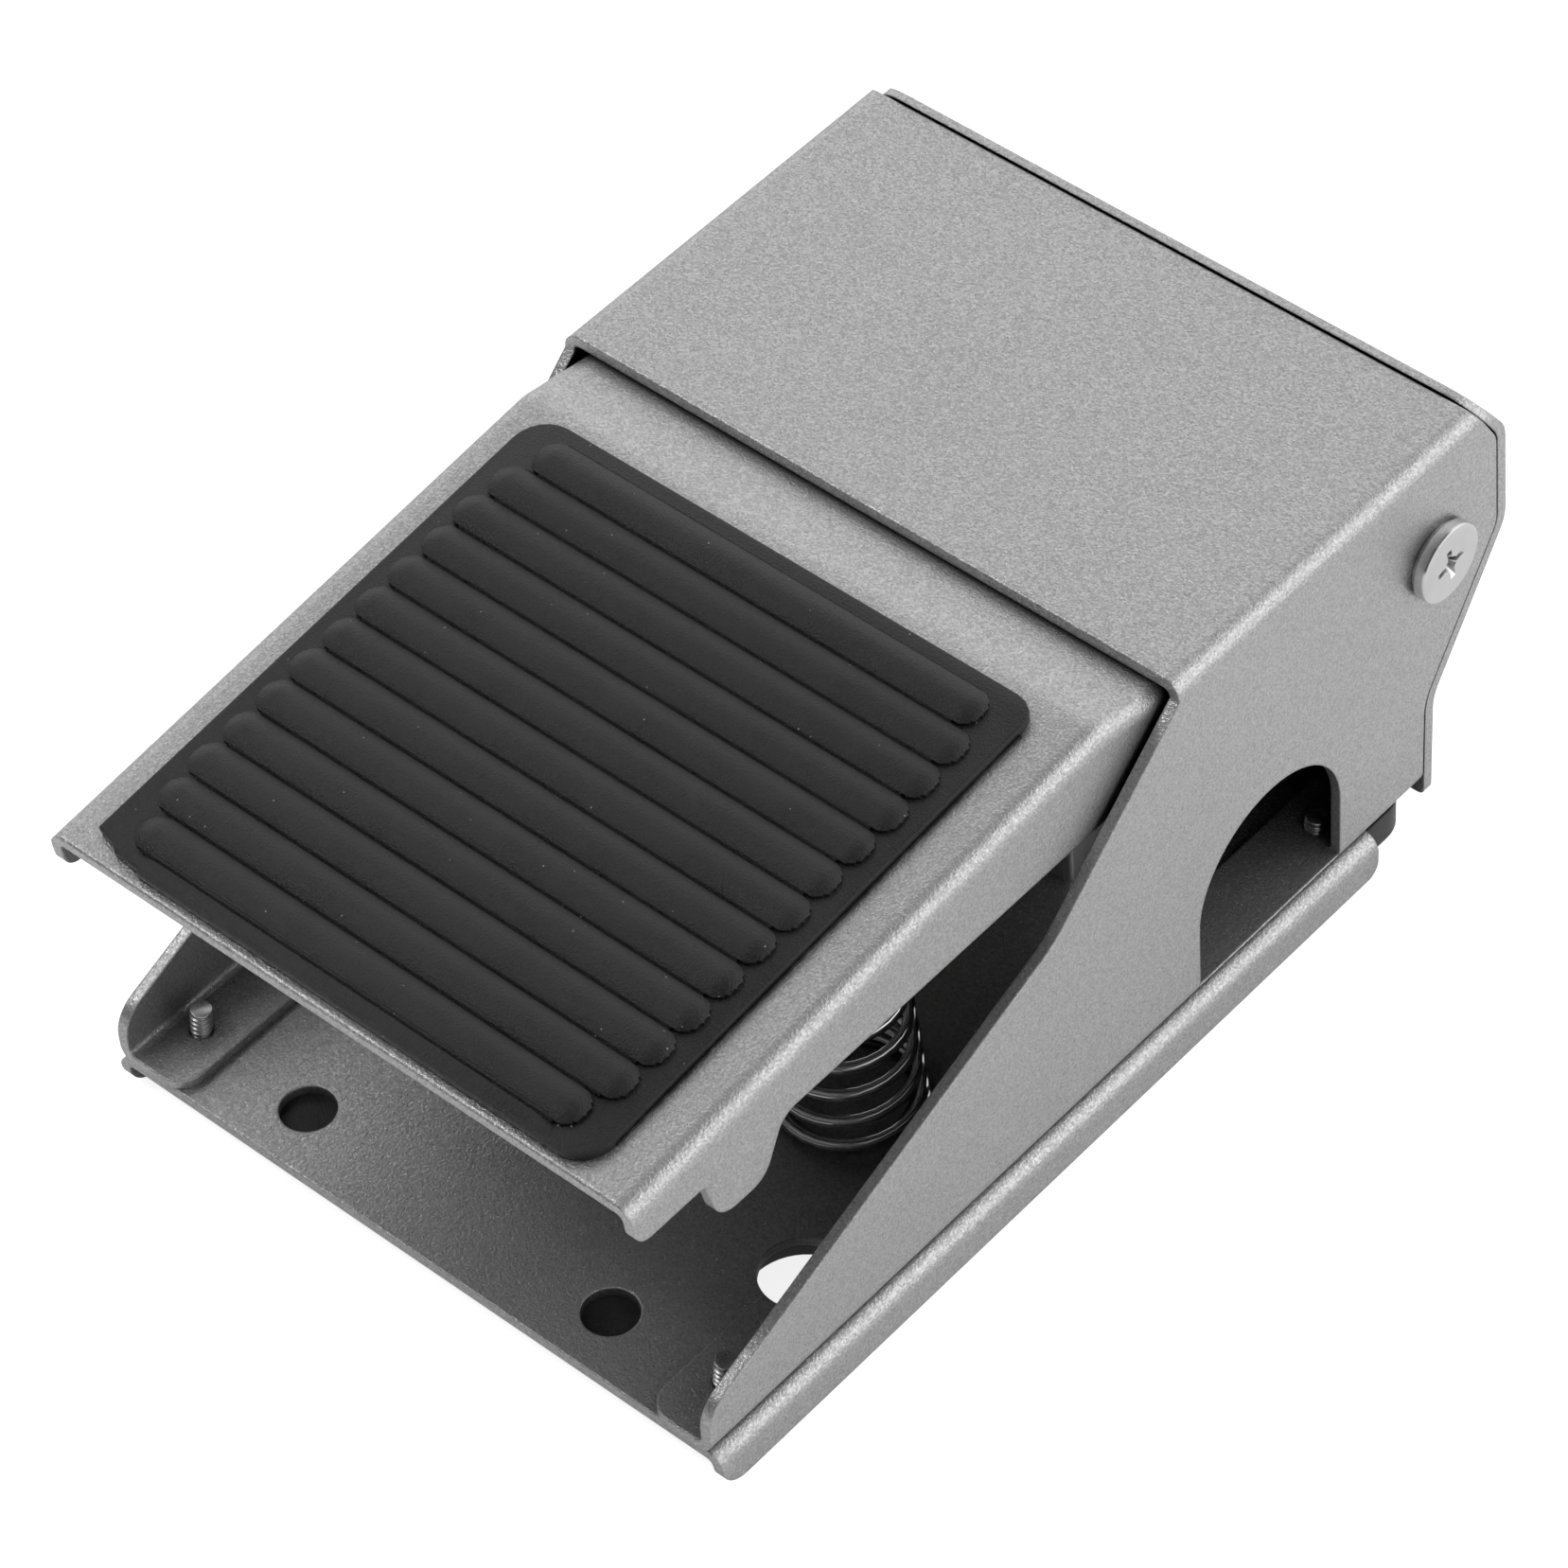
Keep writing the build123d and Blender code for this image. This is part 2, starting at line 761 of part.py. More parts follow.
def return_spring(side):
    """Conical spring between the base boss and the underside of the pedal."""
    low = base_top + spring_wire_r
    high = pedal_top(spring_y - spring_high_r) - deck_below - spring_wire_r - seat_gap
    height = high - low
    taper = math.degrees(math.atan2(spring_high_r - spring_low_r, height))
    path = Helix(height / spring_turns, height, spring_low_r, cone_angle=taper)
    start = Plane(origin=path @ 0, z_dir=path % 0)
    coil = sweep(start * Circle(spring_wire_r), path=path, is_frenet=True)
    return Pos(side * spring_x, spring_y, low) * coil


def valve_body():
    """Ported block with a straight spool bore."""
    rear = body_front_y + body_depth
    body = plan_slab(
        [
            (-body_half, body_front_y, body_edge),
            (body_half, body_front_y, body_edge),
            (body_half, rear, body_edge),
            (-body_half, rear, body_edge),
        ],
        base_top,
        body_top,
    )
    body = chamfer(body.faces().sort_by(Axis.Z)[-1].edges(), body_edge / 2)
    body -= upright(bore_r, 0, bore_y, base_top, body_top)
    body -= upright(plug_r + running_fit, 0, bore_y, base_top, base_top + plug_disc)
    for side, level in ((-1, supply_z), (1, outlet_z)):
        face = side * body_half
        floor = side * (body_half - port_depth)
        spot = side * (body_half - port_face_depth)
        body -= crossbar(port_r, port_y, port_z, min(face, floor), max(face, floor))
        body -= crossbar(port_face_r, port_y, port_z, min(face, spot), max(face, spot))
        body -= crossbar(passage_r, port_y, level, min(0, floor), max(0, floor))
    port_floor = body_front_y + exhaust_depth
    body -= lengthbar(exhaust_r, 0, exhaust_z, body_front_y, port_floor)
    body -= lengthbar(passage_r, 0, exhaust_z, port_floor, bore_y)
    for x, y in body_screw_places():
        body -= upright(m4_r + running_fit, x, y, base_top, base_top + body_screw_depth)
    for x, y in cap_screw_places():
        body -= upright(m25_r + running_fit, x, y, body_top - m25_length, body_top)
    return body


def cap_screw_places():
    """Corners of the cap where its four screws stand."""
    return [(i * cap_screw_offset, bore_y + j * cap_screw_offset) for i in (-1, 1) for j in (-1, 1)]


def bottom_plug():
    """Plug that shuts the bore and carries the spool spring."""
    plug = upright(plug_r, 0, bore_y, base_top, base_top + plug_disc)
    plug += upright(bore_r - running_fit, 0, bore_y, base_top, plug_top)
    groove_z = base_top + plug_disc + plug_spigot / 2
    plug -= ring_groove(groove_z, plug_seal_wire_r, bore_r - running_fit)
    plug -= upright(pocket_r, 0, bore_y, plug_top - plug_recess, plug_top)
    return plug


def ring_groove(z, wire_r, outer_r):
    """Square groove for a seal ring around the bore's axis."""
    floor_r = bore_r - 2 * wire_r
    ring = upright(outer_r + hole_fit, 0, bore_y, z - wire_r - running_fit, z + wire_r + running_fit)
    return ring - upright(floor_r, 0, bore_y, z - 2 * wire_r, z + 2 * wire_r)


def seal_ring(z, wire_r, outer_r):
    """Round rubber ring about the bore's axis."""
    return Pos(0, bore_y, z) * Torus(outer_r - wire_r, wire_r)


def plug_seal():
    """Static seal on the plug."""
    groove_z = base_top + plug_disc + plug_spigot / 2
    return seal_ring(groove_z, plug_seal_wire_r - running_fit / 2, bore_r - running_fit / 2)


def spool():
    """Stepped spool with a hollow foot for its spring and a push stem."""
    body = upright(spool_waist_r, 0, bore_y, foot_z, shoulder_z)
    body += upright(spool_land_r, 0, bore_y, foot_z, lower_seal_z + seal_half)
    body += upright(spool_land_r, 0, bore_y, middle_seal_z - seal_half, shoulder_z)
    body += upright(stem_r, 0, bore_y, shoulder_z, button_low)
    body += upright(button_pin_r, 0, bore_y, button_low, button_low + button_pin)
    body -= upright(pocket_r, 0, bore_y, foot_z, pocket_top)
    for level in seal_levels():
        body -= ring_groove(level, seal_wire_r, spool_land_r)
    return body


def seal_levels():
    """Heights of the three sliding seals with the pedal released."""
    return (lower_seal_z, middle_seal_z, upper_seal_z)


def spool_seals():
    """Sliding seals on the spool."""
    return [seal_ring(level, seal_wire_r - running_fit / 2, bore_r - running_fit / 2)
            for level in seal_levels()]


def plunger_button():
    """Domed plastic cap on the stem, pushed by the pedal."""
    button = upright(button_r, 0, bore_y, button_low, tip_z)
    button &= Pos(0, bore_y, tip_z - button_dome_r) * Sphere(button_dome_r)
    return button - upright(button_pin_r + running_fit, 0, bore_y, button_low, button_low + button_pin)


def spool_spring():
    """Light spring inside the spool's foot."""
    low = plug_top - plug_recess + valve_spring_wire_r
    high = pocket_top - valve_spring_wire_r
    height = high - low
    coil_r = pocket_r - valve_spring_wire_r - 2 * running_fit
    path = Helix(height / valve_spring_turns, height, coil_r)
    start = Plane(origin=path @ 0, z_dir=path % 0)
    coil = sweep(start * Circle(valve_spring_wire_r), path=path, is_frenet=True)
    return Pos(0, bore_y, low) * coil


def top_cap():
    """Square cap that guides the stem and stops the spool."""
    cap = plan_slab(
        [
            (-cap_half, bore_y - cap_half, cap_round),
            (cap_half, bore_y - cap_half, cap_round),
            (cap_half, bore_y + cap_half, cap_round),
            (-cap_half, bore_y + cap_half, cap_round),
        ],
        body_top,
        cap_top,
    )
    cap -= upright(stem_r + running_fit, 0, bore_y, body_top, cap_top)
    seal_low = body_top + 2 * cap_seal_wire_r + running_fit
    cap -= upright(stem_r + 2 * cap_seal_wire_r + hole_fit, 0, bore_y, body_top, seal_low)
    for x, y in cap_screw_places():
        cap -= upright(m25_r + hole_fit, x, y, body_top, cap_top)
        cap -= Pos(x, y, cap_top) * countersink(m25_head_r + running_fit)
    return cap


def countersink(radius):
    """Cone that opens upward to its radius at the local origin."""
    depth = radius - m25_r
    return Cone(m25_r, radius, depth, align=(Align.CENTER, Align.CENTER, Align.MAX))


def stem_seal():
    """Seal ring around the stem under the cap."""
    z = body_top + cap_seal_wire_r
    return Pos(0, bore_y, z) * Torus(stem_r + cap_seal_wire_r + running_fit, cap_seal_wire_r)


def cap_screws():
    """Flat-head screws of the cap."""
    screws = []
    for x, y in cap_screw_places():
        shank = upright(m25_r, x, y, body_top - m25_length + seat_gap, cap_top - running_fit)
        screws.append(shank + Pos(x, y, cap_top - running_fit) * countersink(m25_head_r))
    return screws


def pan_screw(shank_r, head_r, head, length):
    """Pan screw pointing up, with the seat of its head at the local origin."""
    top = Cylinder(head_r, head, align=(Align.CENTER, Align.CENTER, Align.MAX))
    top = fillet(top.edges().sort_by(Axis.Z)[0], head * pan_round)
    shank = Cylinder(shank_r, length, align=(Align.CENTER, Align.CENTER, Align.MIN))
    return top + chamfer(shank.edges().sort_by(Axis.Z)[-1], tip_chamfer)


def valve_screws():
    """Screws through the base into the valve body."""
    length = sheet + body_screw_depth - seat_gap
    return [Pos(x, y, base_floor) * pan_screw(m4_r, m4_head_r, m4_head, length)
            for x, y in body_screw_places()]


def housing_screws():
    """Screws through the base, threaded into the housing's flanges."""
    length = 2 * sheet + m3_tip
    return [Pos(side * stud_x, stud_y, base_floor) * pan_screw(m3_r, m3_head_r, m3_head, length)
            for side in (-1, 1) for stud_y in (front_stud_y, rear_stud_y)]


def cover_screws():
    """Screws through the rear cover into the base tongue."""
    seat_y = rear_foot_y + cover_inner_gap + sheet
    return [Pos(side * cover_screw_x, seat_y, cover_screw_z) * Rot(90, 0, 0)
            * pan_screw(m3_r, m3_head_r, m3_head, screw_grip) for side in (-1, 1)]


pieces = {
    "base_plate": [base_plate()],
    "rubber_mat": [rubber_mat()],
    "housing_cover": [housing_cover()],
    "rear_cover": [rear_cover()],
    "housing_screws": housing_screws(),
    "rear_cover_screws": cover_screws(),
    "pedal_plate": [pedal_plate()],
    "pedal_pad": [pedal_pad()],
    "pivot_axle": [pivot_axle()],
    "pivot_screws": pivot_screws(),
    "pivot_bushes": pivot_bushes(),
    "return_spring_left": [return_spring(-1)],
    "return_spring_right": [return_spring(1)],
    "valve_body": [valve_body()],
    "valve_screws": valve_screws(),
    "bottom_plug": [bottom_plug()],
    "plug_seal": [plug_seal()],
    "spool": [spool()],
    "spool_seals": spool_seals(),
    "spool_spring": [spool_spring()],
    "plunger_button": [plunger_button()],
    "top_cap": [top_cap()],
    "cap_screws": cap_screws(),
    "stem_seal": [stem_seal()],
}

os.makedirs("parts", exist_ok=True)
whole = Compound(children=[Compound(children=[solid for item in group for solid in item.solids()])
                           for group in pieces.values()]).bounding_box()
to_origin = Pos(0, -(whole.min.Y + whole.max.Y) / 2, 0)
print("shift along Y", round(-(whole.min.Y + whole.max.Y) / 2, 4))
for name, group in pieces.items():
    solids = [to_origin * solid for item in group for solid in item.solids()]
    export_step(Compound(children=solids) if len(solids) > 1 else solids[0], f"parts/{name}.step")
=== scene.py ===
"""Looks of a foot pedal air valve in grey powder-coated sheet, with a ribbed rubber tread.

Everything is in metres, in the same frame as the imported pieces: X across the pedal,
+Y towards the rear cover, +Z up, with the ground at Z = 0.
"""

import math

import bpy
from mathutils import Matrix, Vector


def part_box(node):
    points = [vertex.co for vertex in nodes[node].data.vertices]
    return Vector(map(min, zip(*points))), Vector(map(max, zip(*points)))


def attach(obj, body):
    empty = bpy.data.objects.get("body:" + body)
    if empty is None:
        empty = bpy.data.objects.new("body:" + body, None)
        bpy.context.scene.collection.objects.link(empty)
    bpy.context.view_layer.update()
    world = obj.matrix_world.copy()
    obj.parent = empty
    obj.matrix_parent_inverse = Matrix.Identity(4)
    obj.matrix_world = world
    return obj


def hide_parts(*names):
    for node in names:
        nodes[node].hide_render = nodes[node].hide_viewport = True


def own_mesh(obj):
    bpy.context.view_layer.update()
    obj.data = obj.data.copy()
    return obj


MM = 0.001
FRONT_EDGE = -70.6247 * MM      # the base's front edge
NEAR = 0.1 * MM                 # how close a point has to be to a place to count as there
RAYS = 6                        # rays that a rounded edge or a hollow is judged by

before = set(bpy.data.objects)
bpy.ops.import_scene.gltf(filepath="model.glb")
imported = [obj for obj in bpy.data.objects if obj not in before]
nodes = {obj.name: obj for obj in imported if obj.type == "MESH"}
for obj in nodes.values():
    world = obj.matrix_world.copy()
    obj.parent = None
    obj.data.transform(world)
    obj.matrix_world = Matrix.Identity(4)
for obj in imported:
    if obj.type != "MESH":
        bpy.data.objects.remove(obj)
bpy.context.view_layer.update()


# Small tools

def deselect():
    """Nothing selected and nothing being edited."""
    if bpy.context.object and bpy.context.object.mode != "OBJECT":
        bpy.ops.object.mode_set(mode="OBJECT")
    bpy.ops.object.select_all(action="DESELECT")


def activate(piece):
    """Makes a piece the only selected one."""
    deselect()
    piece.select_set(True)
    bpy.context.view_layer.objects.active = piece


def settle(piece):
    """Puts a piece's place and size into its mesh, so that its object sits at the origin."""
    activate(piece)
    bpy.ops.object.transform_apply(location=True, rotation=True, scale=True)
    return piece


def pick(piece, test, kind="VERT"):
    """Goes into edit mode with only the points, edges or faces that pass the test selected."""
    activate(piece)
    bpy.ops.object.mode_set(mode="EDIT")
    bpy.ops.mesh.select_mode(type="VERT")
    bpy.ops.mesh.select_all(action="DESELECT")
    bpy.ops.mesh.select_mode(type=kind)
    bpy.ops.object.mode_set(mode="OBJECT")
    mesh = piece.data
    items = {"VERT": mesh.vertices, "EDGE": mesh.edges, "FACE": mesh.polygons}[kind]
    for item in items:
        item.select = bool(test(item))
    bpy.ops.object.mode_set(mode="EDIT")


def done():
    """Leaves edit mode."""
    bpy.ops.object.mode_set(mode="OBJECT")


def edge_ends(piece, edge):
    """The two end points of an edge."""
    points = piece.data.vertices
    return points[edge.vertices[0]].co, points[edge.vertices[1]].co


def disc(name, radius, depth, sides):
    """A flat cylinder that stands on the local origin."""
    deselect()
    bpy.ops.mesh.primitive_cylinder_add(vertices=sides, radius=radius, depth=depth,
                                        location=(0, 0, depth / 2))
    piece = bpy.context.object
    piece.name = name
    return settle(piece)


def block(name, low, high):
    """A block between two corners."""
    deselect()
    centre = [(a + b) / 2 for a, b in zip(low, high)]
    bpy.ops.mesh.primitive_cube_add(size=1, location=centre)
    piece = bpy.context.object
    piece.name = name
    piece.scale = [b - a for a, b in zip(low, high)]
    return settle(piece)


def modify(piece, kind, **settings):
    """Adds a modifier and applies it."""
    activate(piece)
    modifier = piece.modifiers.new(kind.title(), kind)
    for key, value in settings.items():
        setattr(modifier, key, value)
    bpy.ops.object.modifier_apply(modifier=modifier.name)
    return piece


def twin(piece, name, place):
    """A copy with its own mesh, moved by a matrix."""
    copy = piece.copy()
    copy.data = piece.data.copy()
    copy.name = name
    bpy.context.collection.objects.link(copy)
    copy.matrix_world = place @ piece.matrix_world
    return settle(copy)


def drop(piece):
    """Deletes a helper shape."""
    bpy.data.objects.remove(piece, do_unlink=True)


def joined(name, pieces):
    """Several shapes as one piece."""
    activate(pieces[0])
    for piece in pieces[1:]:
        piece.select_set(True)
    bpy.ops.object.join()
    pieces[0].name = name
    return pieces[0]


def smooth(piece, degrees):
    """Smooth shading, except across edges sharper than the angle."""
    activate(piece)
    bpy.ops.object.shade_smooth_by_angle(angle=math.radians(degrees))
    return piece


# Materials

class Field:
    """A node's output that takes part in sums and products."""

    def __init__(self, paint, socket):
        self.paint = paint
        self.socket = socket

    def __add__(self, other):
        return self.paint.maths("ADD", self, other)

    __radd__ = __add__

    def __sub__(self, other):
        return self.paint.maths("SUBTRACT", self, other)

    def __rsub__(self, other):
        return self.paint.maths("SUBTRACT", other, self)

    def __mul__(self, other):
        return self.paint.maths("MULTIPLY", self, other)

    __rmul__ = __mul__

    def __gt__(self, other):
        return self.paint.maths("GREATER_THAN", self, other)


class Paint:
    """A material that is written as expressions on its surface patterns."""

    def __init__(self, name):
        self.material = bpy.data.materials.new(name)
        self.material.use_nodes = True
        self.tree = self.material.node_tree
        self.shader = self.tree.nodes["Principled BSDF"]
        self.place = self.node("ShaderNodeTexCoord").outputs["Object"]

    def node(self, kind, settings=None, **values):
        """A node with its settings, and its sockets given by name with _ for a space."""
        made = self.tree.nodes.new(kind)
        for key, value in (settings or {}).items():
            setattr(made, key, value)
        for key, value in values.items():
            self.feed(made.inputs[key.replace("_", " ")], value)
        return made

    def feed(self, socket, value):
        """Links a field or socket, or sets a plain value."""
        if isinstance(value, Field):
            value = value.socket
        if isinstance(value, bpy.types.NodeSocket):
            self.tree.links.new(value, socket)
        else:
            socket.default_value = value

    def maths(self, operation, *values):
        """The result of one operation as a field."""
        made = self.tree.nodes.new("ShaderNodeMath")
        made.operation = operation
        for socket, value in zip(made.inputs, values):
            self.feed(socket, value)
        return Field(self, made.outputs[0])

    def noise(self, size, detail=2.0, roughness=0.5, stretch=(1, 1, 1)):
        """Cloudy noise with features of about this size in metres, from 0 to 1."""
        where = self.place
        if stretch != (1, 1, 1):
            where = self.node("ShaderNodeMapping", Vector=where, Scale=stretch).outputs[0]
        made = self.node("ShaderNodeTexNoise", Vector=where, Scale=1 / size, Detail=detail,
                         Roughness=roughness)
        return Field(self, made.outputs["Fac"])

    def cells(self, size):
        """Random grey per cell of about this size in metres."""
        made = self.node("ShaderNodeTexVoronoi", Vector=self.place, Scale=1 / size)
        split = self.node("ShaderNodeSeparateColor", Color=made.outputs["Color"])
        return Field(self, split.outputs[0])

    def specks(self, size, share):
        """Small round spots, in about this share of the cells of this size."""
        made = self.node("ShaderNodeTexVoronoi", Vector=self.place, Scale=1 / size)
        split = self.node("ShaderNodeSeparateColor", Color=made.outputs["Color"])
        chosen = Field(self, split.outputs[1]) > 1 - share
        rim, heart = 0.17, 0.07
        spot = self.ramp(Field(self, made.outputs["Distance"]), rim, heart)
        return chosen * spot

    def ramp(self, value, low, high):
        """0 at the low value and 1 at the high value, straight in between and held outside."""
        made = self.node("ShaderNodeMapRange", {"clamp": True}, Value=value, From_Min=low,
                         From_Max=high)
        return Field(self, made.outputs["Result"])

    def painted_shade_mask(self, reach, low, high):
        """Painted shade mask: 0 deep in hollows narrower than the reach and 1 in the open."""
        made = self.node("ShaderNodeAmbientOcclusion", {"samples": RAYS}, Distance=reach)
        return self.ramp(Field(self, made.outputs["AO"]), low, high)

    def mix(self, share, first, second):
        """A colour between two, by a share."""
        made = self.node("ShaderNodeMix", {"data_type": "RGBA"})
        colour_a, colour_b, result = made.inputs[6], made.inputs[7], made.outputs[2]
        self.feed(made.inputs["Factor"], share)
        for socket, value in ((colour_a, first), (colour_b, second)):
            self.feed(socket, value if isinstance(value, bpy.types.NodeSocket) else (*value, 1.0))
        return result

    def bump(self, height, depth, rounding=0.0):
        """Relief of a height field, this many metres deep, over rounded edges."""
        made = self.node("ShaderNodeBump", Strength=1.0, Distance=depth)
        self.feed(made.inputs["Height"], height)
        if rounding:
            bevel = self.node("ShaderNodeBevel", {"samples": RAYS}, Radius=rounding)
            self.feed(made.inputs["Normal"], bevel.outputs[0])
        return made.outputs[0]

    def finish(self, **values):
        """Sets the shader's sockets and returns the material."""
        for key, value in values.items():
            self.feed(self.shader.inputs[key.replace("_", " ")], value)
        return self.material


def grey(value):
    """A neutral colour."""
    return (value, value, value)


def powder_coat():
    """Silver-grey powder coat: fine orange peel with glinting flakes, and painted shade deep
    inside.
    """
    paint = Paint("metallic_grey_powder_coat")
    peel = paint.noise(0.36 * MM, detail=2.0, roughness=0.6)
    flakes = paint.cells(0.24 * MM)
    cloud = paint.noise(14 * MM, detail=2.0)
    tone = (peel - 0.5) * 0.5 + (flakes - 0.5) * 0.5 + (cloud - 0.5) * 0.1 + 0.5
    colour = paint.mix(paint.ramp(tone, 0.1, 0.9), grey(0.31), grey(0.59))
    # Painted shade: the coat turns near black deep in hollows, under the pedal and inside the
    # walls.
    colour = paint.mix(paint.painted_shade_mask(60 * MM, 0.12, 0.48), grey(0.02), colour)
    relief = peel * 0.8 + flakes * 0.2
    return paint.finish(
        Base_Color=colour,
        Metallic=0.82,
        Roughness=0.35 - (flakes - 0.5) * 0.16 + (cloud - 0.5) * 0.06,
        Normal=paint.bump(relief, 0.12 * MM, rounding=0.45 * MM),
    )


def moulded_rubber(name, tone, dust):
    """Black rubber: soft sheen with a pebbled skin and a little dust."""
    paint = Paint(name)
    pebbles = paint.noise(0.3 * MM, detail=3.0, roughness=0.7)
    patches = paint.noise(7 * MM, detail=4.0, roughness=0.6)
    skin = paint.ramp(patches + (pebbles - 0.5) * 0.9, 0.35, 0.7)
    colour = paint.mix(skin, grey(tone * 0.5), grey(tone * 1.6))
    colour = paint.mix(paint.specks(0.8 * MM, dust), colour, grey(0.32))
    return paint.finish(
        Base_Color=colour,
        Roughness=0.32 + (patches - 0.5) * 0.3,
        Specular_IOR_Level=0.42,
        Normal=paint.bump(pebbles, 0.12 * MM),
    )


def metal(name, tone, roughness, grain, depth, stretch=(1, 1, 1), hollows=0.0):
    """Bare or plated metal with a fine tool grain, and painted shade in hollows narrower than a
    reach.
    """
    paint = Paint(name)
    lines = paint.noise(grain, detail=2.0, stretch=stretch)
    haze = paint.noise(4 * MM, detail=2.0)
    colour = paint.mix(haze, grey(tone * 0.9), grey(min(tone * 1.08, 1.0)))
    # Painted shade: the metal turns dark in hollows within the reach.
    if hollows:
        colour = paint.mix(paint.painted_shade_mask(hollows, 0.1, 0.6), grey(tone * 0.12), colour)
    return paint.finish(
        Base_Color=colour,
        Metallic=1.0,
        Roughness=(lines - 0.5) * 0.2 + roughness,
        Normal=paint.bump(lines, depth, rounding=0.1 * MM),
    )


def plastic(name, colour, roughness):
    """Moulded plastic with a faint spark-eroded skin."""
    paint = Paint(name)
    skin = paint.noise(0.15 * MM, detail=2.0)
    cloud = paint.noise(5 * MM)
    darker = tuple(0.85 * part for part in colour)
    return paint.finish(
        Base_Color=paint.mix(cloud, darker, colour),
        Roughness=(skin - 0.5) * 0.15 + roughness,
        Normal=paint.bump(skin, 0.01 * MM, rounding=0.15 * MM),
    )


COAT = powder_coat()
TREAD = moulded_rubber("ribbed_tread_rubber", 0.007, 0.03)
MAT = moulded_rubber("floor_mat_rubber", 0.012, 0.01)
SEAL = moulded_rubber("seal_rubber", 0.01, 0.0)
# The screw heads' recesses and the zinc studs get painted shade in their hollows.
NICKEL = metal("bright_nickel_screw", 0.66, 0.22, 0.3 * MM, 0.002 * MM, hollows=2.5 * MM)
ZINC = metal("zinc_plated_steel", 0.5, 0.3, 0.2 * MM, 0.004 * MM, hollows=30 * MM)
WIRE = metal("bright_spring_wire", 0.5, 0.09, 0.2 * MM, 0.002 * MM)
GROUND_STEEL = metal("ground_axle_steel", 0.6, 0.26, 0.1 * MM, 0.003 * MM, stretch=(8, 1, 1))
ALUMINIUM = metal("machined_aluminium", 0.62, 0.36, 0.12 * MM, 0.004 * MM, stretch=(1, 1, 6))
BEARING = plastic("natural_bearing_plastic", (0.7, 0.68, 0.62), 0.45)
BUTTON = plastic("black_button_plastic", grey(0.03), 0.4)


def dress(node, material):
    """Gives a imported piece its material."""
    slots = nodes[node].data.materials
    slots.clear()
    slots.append(material)


def own(piece, body, material, slot, *replaced):
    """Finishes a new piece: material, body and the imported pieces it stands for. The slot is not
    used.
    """
    piece.data.materials.clear()
    piece.data.materials.append(material)
    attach(piece, body)
    if replaced:
        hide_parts(*replaced)
    return piece


for node in ("base_plate", "housing_cover", "rear_cover", "pedal_plate"):
    dress(node, COAT)
for node in ("valve_screws", "cap_screws"):
    dress(node, ZINC)
for node in ("valve_body", "bottom_plug", "top_cap", "spool"):
    dress(node, ALUMINIUM)
for node in ("plug_seal", "spool_seals", "stem_seal"):
    dress(node, SEAL)
dress("pivot_axle", GROUND_STEEL)
dress("pivot_bushes", BEARING)
dress("plunger_button", BUTTON)


# Places of the real pieces, in metres

DECK_SLOPE = math.atan(0.104)
DECK_ORIGIN = (-1.0 * MM, FRONT_EDGE, 55.205 * MM)
DECK_AXIS = Matrix.Translation(DECK_ORIGIN) @ Matrix.Rotation(DECK_SLOPE, 4, "X")
HOUSING_FACE = 47.9 * MM


def middle(node):
    """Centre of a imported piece's box."""
    low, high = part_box(node)
    return (Vector(low) + Vector(high)) / 2


# Ribbed tread

def rib(name, length, width, height, side):
    """Cross rib on the local origin: a low round crown with domed ends, on upright sides."""
    shoulder = 0.3 * MM
    rise = height - side
    crown = (width * width / 4 + rise * rise) / (2 * rise)
    deselect()
    bpy.ops.mesh.primitive_uv_sphere_add(segments=96, ring_count=33, radius=crown,
                                         location=(0, 0, height - crown),
                                         rotation=(0, math.pi / 2, 0))
    piece = bpy.context.object
    piece.name = name
    settle(piece)
    pick(piece, lambda point: True)
    bpy.ops.mesh.bisect(plane_co=(0, 0, side), plane_no=(0, 0, 1), use_fill=True, clear_inner=True)
    done()
    pick(piece, lambda face: face.normal.z < -0.9, "FACE")
    bpy.ops.mesh.extrude_region_move(TRANSFORM_OT_translate={"value": (0, 0, -side)})
    done()

    def on_shoulder(edge):
        return all(abs(end.z - side) < 0.001 * MM for end in edge_ends(piece, edge))

    pick(piece, on_shoulder, "EDGE")
    bpy.ops.mesh.bevel(offset=shoulder, segments=3)
    done()
    reach = (length - width) / 2
    for way in (-1, 1):
        pick(piece, lambda point: point.co.x * way > 0)
        bpy.ops.transform.translate(value=(way * reach, 0, 0))
        done()
    return piece


def corner(piece, x, y):
    """A test for the upright edges of a piece at one place."""
    def test(edge):
        first, second = edge_ends(piece, edge)
        centre = (first + second) / 2
        return abs(centre.x - x) < NEAR and abs(centre.y - y) < NEAR

    return test


